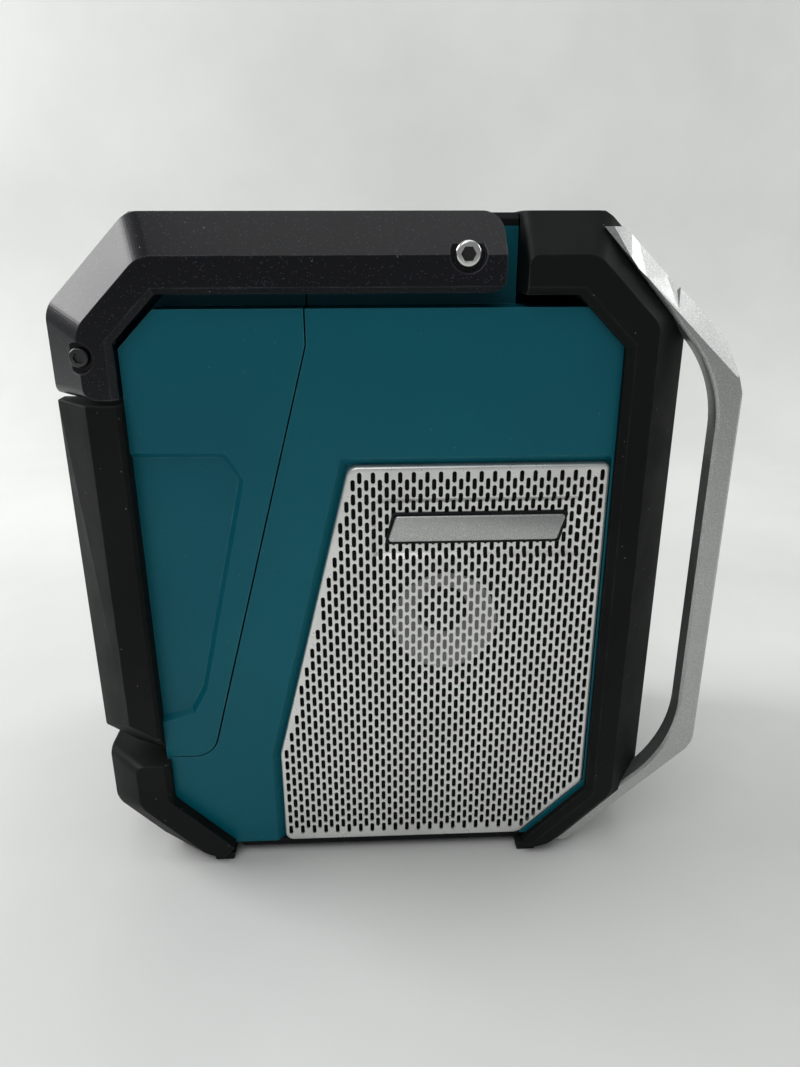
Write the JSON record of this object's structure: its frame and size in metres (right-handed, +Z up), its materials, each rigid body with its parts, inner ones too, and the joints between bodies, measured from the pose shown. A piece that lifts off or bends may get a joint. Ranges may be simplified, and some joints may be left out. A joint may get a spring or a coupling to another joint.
{
  "type": "jobsite radio",
  "caption": "Rugged box radio with a fold-down bail handle, corner bumpers, front guard bars, side speaker grilles and a battery bay behind a rear door.",
  "frame": {"origin": "centre of the footprint, on the surface the radio stands on", "axes": "+X towards the front face and guards, +Y towards the radio's left flank, +Z up"},
  "size_m": [0.283, 0.163, 0.3],
  "materials": {
    "teal_plastic": "satin moulded",
    "black_rubber": "soft matt rubber over plastic",
    "foot_rubber": "matt",
    "handle_plastic": "fine sparkle texture",
    "black_plastic": "matt",
    "silver_paint": "metallic silver grain",
    "grille_sheet": "bright sheet",
    "button_plastic": "soft touch",
    "clear_lens": "clear",
    "display_glass": "grey green",
    "board_green": "solder mask",
    "ferrite": "dull",
    "speaker_metal": "black",
    "speaker_paper": "pressed paper",
    "speaker_rubber": "matt",
    "bright_steel": "bright",
    "dark_steel": "blackened",
    "bearing_plastic": "natural"
  },
  "bodies": {
    "chassis": {"main_housing": "teal_plastic", "rear_cover": "teal_plastic", "front_frame": "black_rubber", "rear_bar_left": "black_rubber", "rear_bar_right": "black_rubber", "rear_bumper": "black_rubber", "rubber_feet": "foot_rubber", "top_cover": "black_plastic", "base_plate": "black_plastic", "front_panel": "black_plastic", "battery_tray": "black_plastic", "knob_encoder": "black_plastic", "battery_terminals": "black_plastic", "aux_socket": "black_plastic", "dc_inlet": "black_plastic", "guard_left": "silver_paint", "guard_right": "silver_paint", "speaker_grille_left": "grille_sheet", "speaker_grille_right": "grille_sheet", "display_lens": "clear_lens", "display_module": "display_glass", "circuit_board": "board_green", "ferrite_antenna": "ferrite", "speaker_frame_left": "speaker_metal", "speaker_frame_right": "speaker_metal", "speaker_magnet_left": "speaker_metal", "speaker_magnet_right": "speaker_metal", "speaker_cone_left": "speaker_paper", "speaker_cone_right": "speaker_paper", "dust_cap_left": "speaker_paper", "dust_cap_right": "speaker_paper", "speaker_surround_left": "speaker_rubber", "speaker_surround_right": "speaker_rubber", "pivot_bolt_left": "bright_steel", "pivot_bolt_right": "bright_steel", "door_hinge_pin": "bright_steel"},
    "handle": {"handle_arm_left": "handle_plastic", "handle_arm_right": "handle_plastic", "handle_grip": "handle_plastic", "grip_screws": "dark_steel", "pivot_bush_left": "bearing_plastic", "pivot_bush_right": "bearing_plastic"},
    "battery_door": {"battery_door": "teal_plastic", "door_catch": "black_plastic"},
    "tuning_knob": {"tuning_knob": "button_plastic"},
    "terminal_cover": {"terminal_cover": "black_rubber"},
    "power_button": {"power_button": "button_plastic"},
    "mode_button": {"mode_button": "button_plastic"},
    "tune_down_button": {"tune_down_button": "button_plastic"},
    "tune_up_button": {"tune_up_button": "button_plastic"},
    "preset_button_1": {"preset_button_1": "button_plastic"},
    "preset_button_2": {"preset_button_2": "button_plastic"},
    "preset_button_3": {"preset_button_3": "button_plastic"},
    "preset_button_4": {"preset_button_4": "button_plastic"}
  },
  "joints": [
    {"name": "handle_fold", "type": "hinge", "parent": "chassis", "child": "handle", "pos_m": [0.0253, 0, 0.2843], "axis": [0, 1, 0], "range_deg": [0, 90]},
    {"name": "battery_door_hinge", "type": "hinge", "parent": "chassis", "child": "battery_door", "pos_m": [-0.1157, 0, 0.068], "axis": [0, -1, 0], "range_deg": [0, 90]},
    {"name": "tuning_turn", "type": "hinge", "parent": "chassis", "child": "tuning_knob", "pos_m": [0.113, 0, 0.112], "axis": [1, 0, 0], "continuous": true},
    {"name": "terminal_cover_hinge", "type": "hinge", "parent": "chassis", "child": "terminal_cover", "pos_m": [0.1156, 0, 0.049], "axis": [0, 1, 0], "range_deg": [0, 120]},
    {"name": "power_button_press", "type": "slide", "parent": "chassis", "child": "power_button", "axis": [-1, 0, 0], "range_m": [0, 0.0012], "stiffness_N_per_m": 600},
    {"name": "mode_button_press", "type": "slide", "parent": "chassis", "child": "mode_button", "axis": [-1, 0, 0], "range_m": [0, 0.0012], "stiffness_N_per_m": 600},
    {"name": "tune_down_button_press", "type": "slide", "parent": "chassis", "child": "tune_down_button", "axis": [-1, 0, 0], "range_m": [0, 0.0012], "stiffness_N_per_m": 600},
    {"name": "tune_up_button_press", "type": "slide", "parent": "chassis", "child": "tune_up_button", "axis": [-1, 0, 0], "range_m": [0, 0.0012], "stiffness_N_per_m": 600},
    {"name": "preset_button_1_press", "type": "slide", "parent": "chassis", "child": "preset_button_1", "axis": [-1, 0, 0], "range_m": [0, 0.0012], "stiffness_N_per_m": 600},
    {"name": "preset_button_2_press", "type": "slide", "parent": "chassis", "child": "preset_button_2", "axis": [-1, 0, 0], "range_m": [0, 0.0012], "stiffness_N_per_m": 600},
    {"name": "preset_button_3_press", "type": "slide", "parent": "chassis", "child": "preset_button_3", "axis": [-1, 0, 0], "range_m": [0, 0.0012], "stiffness_N_per_m": 600},
    {"name": "preset_button_4_press", "type": "slide", "parent": "chassis", "child": "preset_button_4", "axis": [-1, 0, 0], "range_m": [0, 0.0012], "stiffness_N_per_m": 600}
  ]
}
